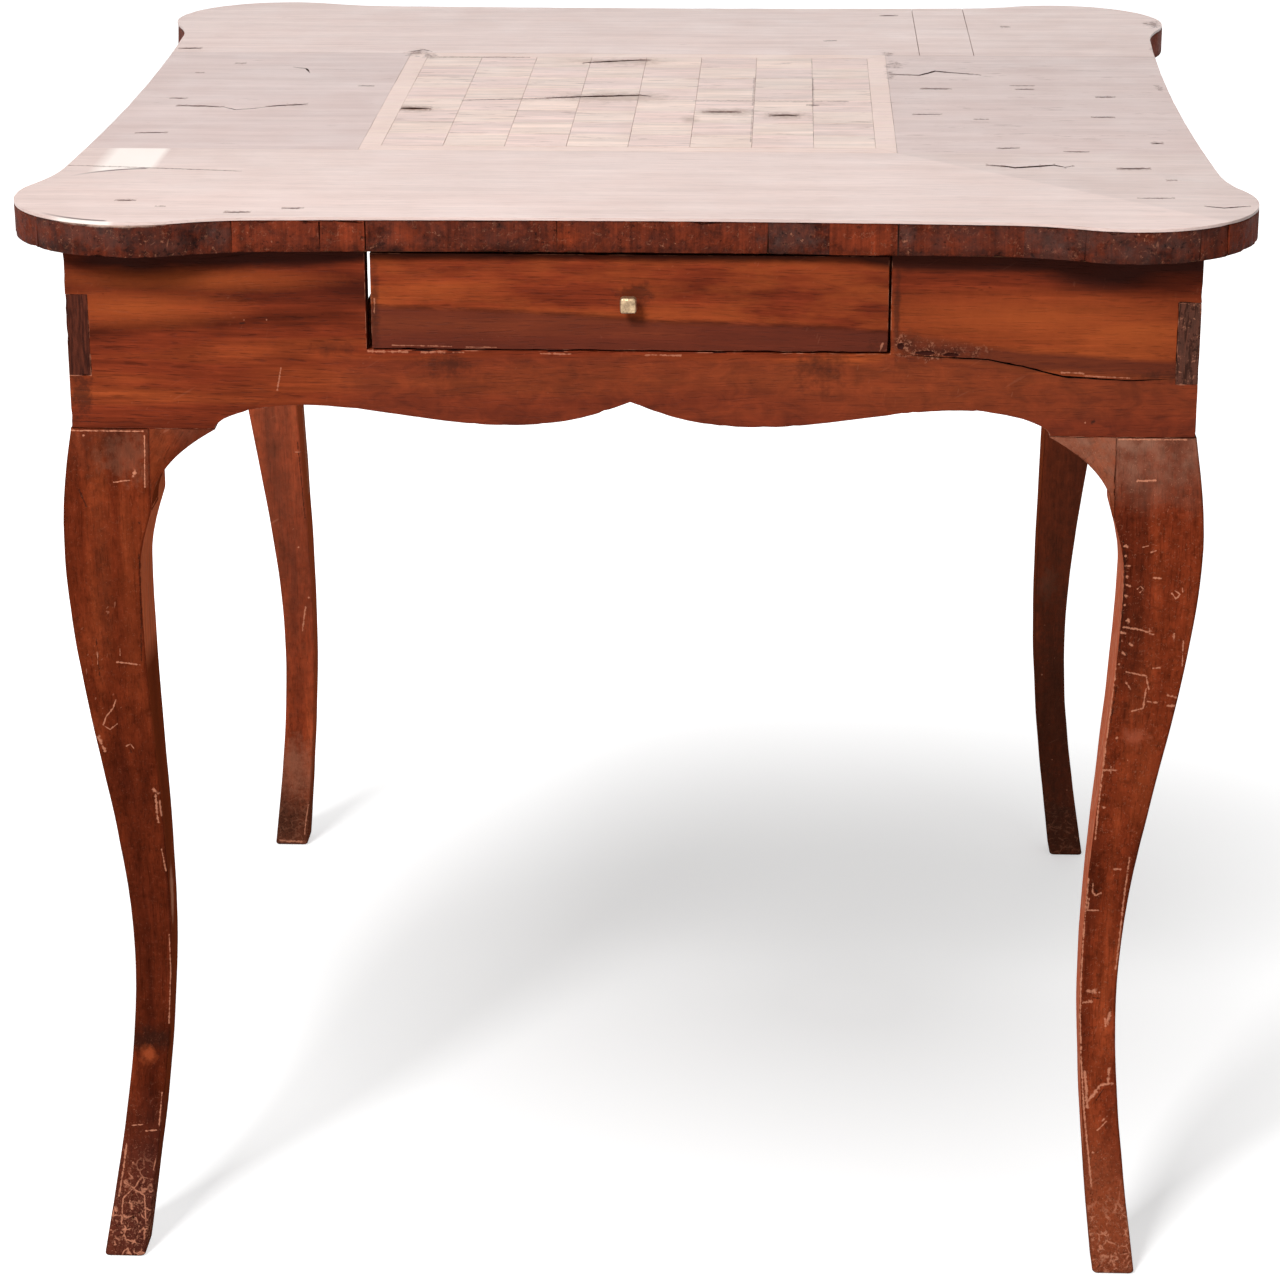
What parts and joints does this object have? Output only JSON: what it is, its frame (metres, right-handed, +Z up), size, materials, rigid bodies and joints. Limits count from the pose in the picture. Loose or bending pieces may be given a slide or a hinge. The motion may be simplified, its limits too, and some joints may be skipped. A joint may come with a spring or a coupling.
{
  "type": "games table",
  "caption": "Square games table with a chessboard inlaid in its lobed top, one frieze drawer with a brass knob and sawn cabriole legs.",
  "frame": {"origin": "on the floor under the middle of the top", "axes": "+Z up to the playing surface, -Y towards the side with the drawer, +X to the right of someone facing the drawer"},
  "size_m": [0.841, 0.871, 0.78],
  "materials": {
    "top_core": "bare, age-darkened",
    "banding": "aged polish",
    "top_veneer": "aged polish",
    "pale_square": "aged polish",
    "dark_square": "aged polish",
    "board_border": "aged polish",
    "apron_walnut": "aged polish",
    "leg_walnut": "aged polish",
    "inner_wood": "bare, age-darkened",
    "brass": "tarnished"
  },
  "bodies": {
    "table": {"top_board_front": "top_core", "top_board_middle": "top_core", "top_board_back": "top_core", "edge_banding_front": "banding", "edge_banding_right": "banding", "edge_banding_back": "banding", "edge_banding_left": "banding", "veneer_front_strip": "top_veneer", "veneer_back_strip": "top_veneer", "veneer_left_panel": "top_veneer", "veneer_right_panel": "top_veneer", "board_squares_pale": "pale_square", "board_squares_dark": "dark_square", "board_border_front": "board_border", "board_border_right": "board_border", "board_border_back": "board_border", "board_border_left": "board_border", "front_apron": "apron_walnut", "back_apron": "apron_walnut", "left_apron": "apron_walnut", "right_apron": "apron_walnut", "leg_front_left": "leg_walnut", "leg_front_right": "leg_walnut", "leg_back_left": "leg_walnut", "leg_back_right": "leg_walnut", "bracket_front_left_end": "leg_walnut", "bracket_front_left_side": "leg_walnut", "bracket_front_right_end": "leg_walnut", "bracket_front_right_side": "leg_walnut", "bracket_back_left_end": "leg_walnut", "bracket_back_left_side": "leg_walnut", "bracket_back_right_end": "leg_walnut", "bracket_back_right_side": "leg_walnut", "glue_blocks": "inner_wood", "drawer_runner_left": "inner_wood", "drawer_runner_right": "inner_wood", "drawer_guide_left": "inner_wood", "drawer_guide_right": "inner_wood", "drawer_stops": "inner_wood"},
    "drawer": {"drawer_front": "apron_walnut", "drawer_side_left": "inner_wood", "drawer_side_right": "inner_wood", "drawer_bottom": "inner_wood", "drawer_back": "inner_wood", "knob": "brass", "knob_nut": "brass"}
  },
  "joints": [
    {"name": "drawer_slide", "type": "slide", "parent": "table", "child": "drawer", "axis": [0, -1, 0], "range_m": [0, 0.27]}
  ]
}
